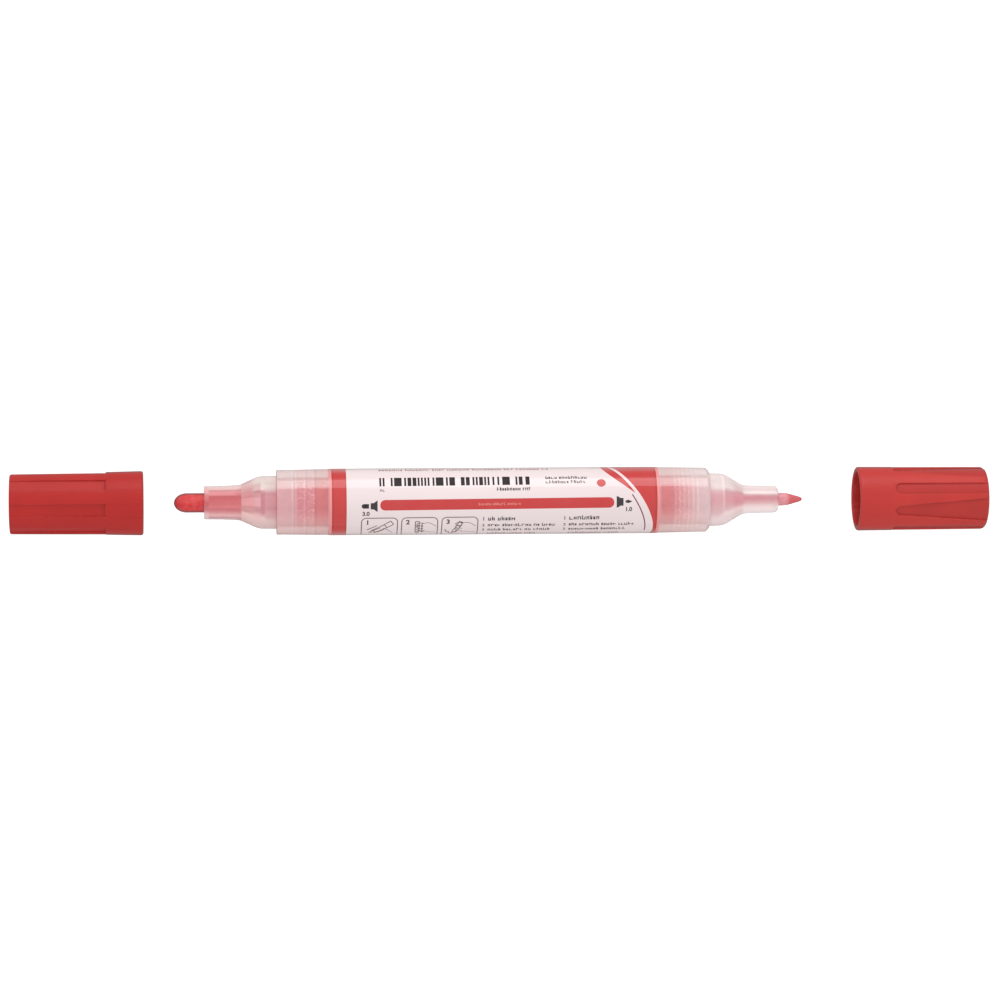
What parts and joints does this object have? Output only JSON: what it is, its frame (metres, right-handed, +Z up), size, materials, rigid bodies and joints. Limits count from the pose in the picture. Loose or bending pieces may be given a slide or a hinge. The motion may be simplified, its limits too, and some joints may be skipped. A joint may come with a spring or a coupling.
{
  "type": "double-ended paint marker",
  "caption": "Round translucent paint marker with a sprung bullet tip at one end, a sprung fine tip at the other, a printed label sleeve and fluted red caps laid off in line.",
  "frame": {"origin": "on the marker's long axis, half way between the closed ends of the two caps as they are laid out", "axes": "+X along the marker from the bullet tip to the fine tip, +Z up, with the front of the label facing +Z"},
  "size_m": [0.208, 0.0142, 0.0142],
  "materials": {
    "barrel": "natural translucent polypropylene, smooth, tinted by the paint inside",
    "nose": "clear polypropylene, smooth, slightly hazy",
    "label": "white gloss film with red and dark grey print",
    "cap": "red moulded plastic, satin",
    "liner": "soft red moulded plastic, matte",
    "nib": "pressed fibre soaked with red paint",
    "fine_nib": "fine fluted plastic nib, darker at the tip",
    "seal": "pale translucent rubber",
    "valve": "white acetal",
    "spring": "bright drawn stainless wire",
    "ball": "polished stainless ball"
  },
  "bodies": {
    "marker": {"barrel": "barrel", "label_sleeve": "label", "bullet_nose": "nose", "bullet_nose_seal": "seal", "bullet_valve_seat": "seal", "bullet_spring_cage": "valve", "bullet_valve_spring": "spring", "fine_nose": "nose", "fine_valve_seat": "seal", "fine_spring_cage": "valve", "fine_valve_spring": "spring"},
    "bullet_cap": {"bullet_cap": "cap", "bullet_cap_liner": "liner"},
    "fine_cap": {"fine_cap": "cap", "fine_cap_liner": "liner"},
    "bullet_nib_unit": {"bullet_nib": "nib", "bullet_valve_stem": "valve"},
    "fine_nib_unit": {"fine_nib": "fine_nib", "fine_valve_stem": "valve"},
    "mixing_ball": {"mixing_ball": "ball"}
  },
  "joints": [
    {"name": "bullet_cap_slide", "type": "slide", "parent": "marker", "child": "bullet_cap", "axis": [1, 0, 0], "range_m": [0, 0.02807]},
    {"name": "fine_cap_slide", "type": "slide", "parent": "marker", "child": "fine_cap", "axis": [-1, 0, 0], "range_m": [0, 0.03192]},
    {"name": "bullet_nib_press", "type": "slide", "parent": "marker", "child": "bullet_nib_unit", "axis": [1, 0, 0], "range_m": [0, 0.0016], "deforming": ["bullet_valve_spring"]},
    {"name": "fine_nib_press", "type": "slide", "parent": "marker", "child": "fine_nib_unit", "axis": [-1, 0, 0], "range_m": [0, 0.0015], "deforming": ["fine_valve_spring"]},
    {"name": "mixing_ball_slide", "type": "slide", "parent": "marker", "child": "mixing_ball", "axis": [1, 0, 0], "range_m": [-0.0471, 0.0231]}
  ]
}
